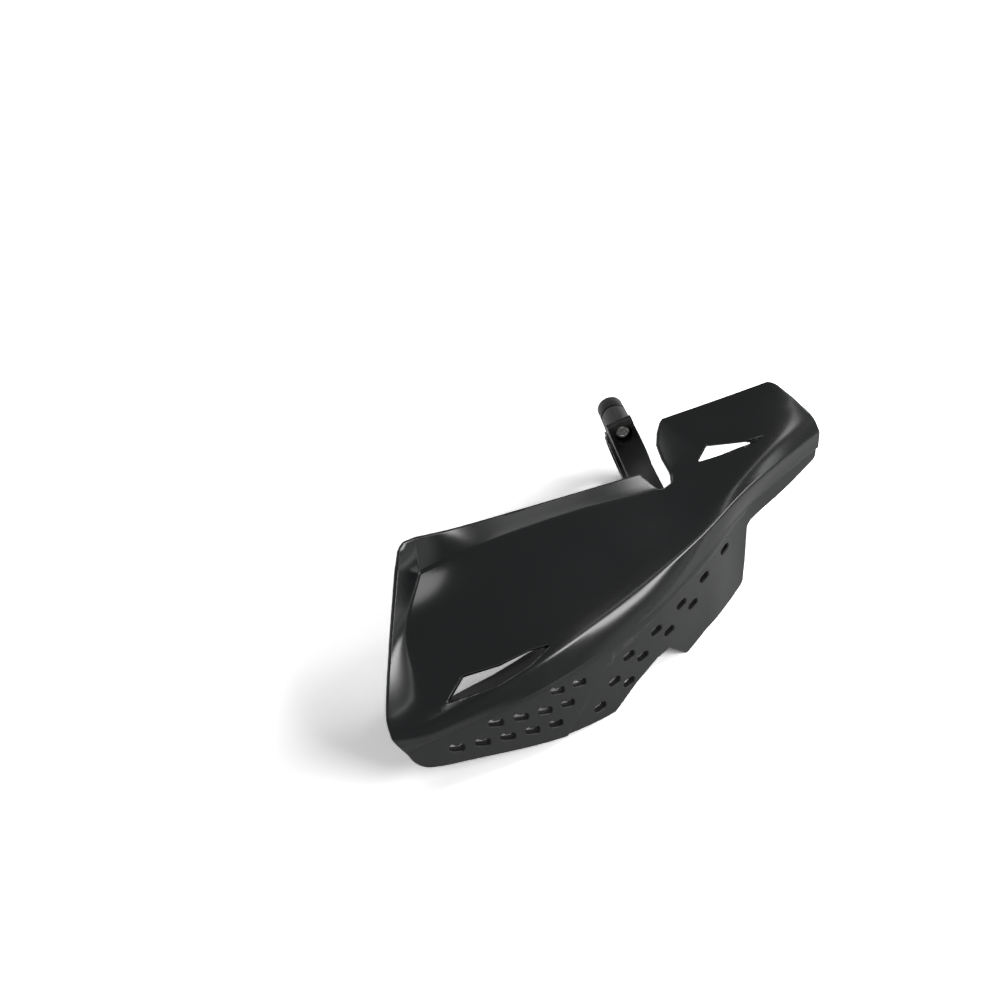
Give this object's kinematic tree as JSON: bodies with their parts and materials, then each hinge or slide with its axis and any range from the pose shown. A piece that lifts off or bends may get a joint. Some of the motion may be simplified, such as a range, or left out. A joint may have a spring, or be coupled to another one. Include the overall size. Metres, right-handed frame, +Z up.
{
  "type": "motorcycle hand guard",
  "caption": "Vented moulded shield for a handlebar grip, with a raised flange, a notch and windows, on a curved arm with a split clamp for the bar.",
  "frame": {"origin": "centre of the handlebar bore in the clamp", "axes": "+Z up as the guard lies on a floor, +X along the shield from its wide end to its narrow end, -Y out of the shield's vented side"},
  "size_m": [0.29, 0.1425, 0.0883],
  "materials": {
    "shell": "gloss black upper face, satin lower panel",
    "arm": "matte black moulding",
    "sleeve": "satin black moulding",
    "zinc": "bright zinc plate",
    "insert": "plain turned brass"
  },
  "bodies": {
    "root": {"shield": "shell", "mount_arm": "arm", "bar_sleeve": "sleeve", "pinch_bolt": "zinc", "pinch_washer": "zinc", "pinch_nut": "zinc", "shield_screw_1": "zinc", "shield_screw_2": "zinc", "shield_washer_1": "zinc", "shield_washer_2": "zinc", "shield_insert_1": "insert", "shield_insert_2": "insert"}
  },
  "joints": []
}
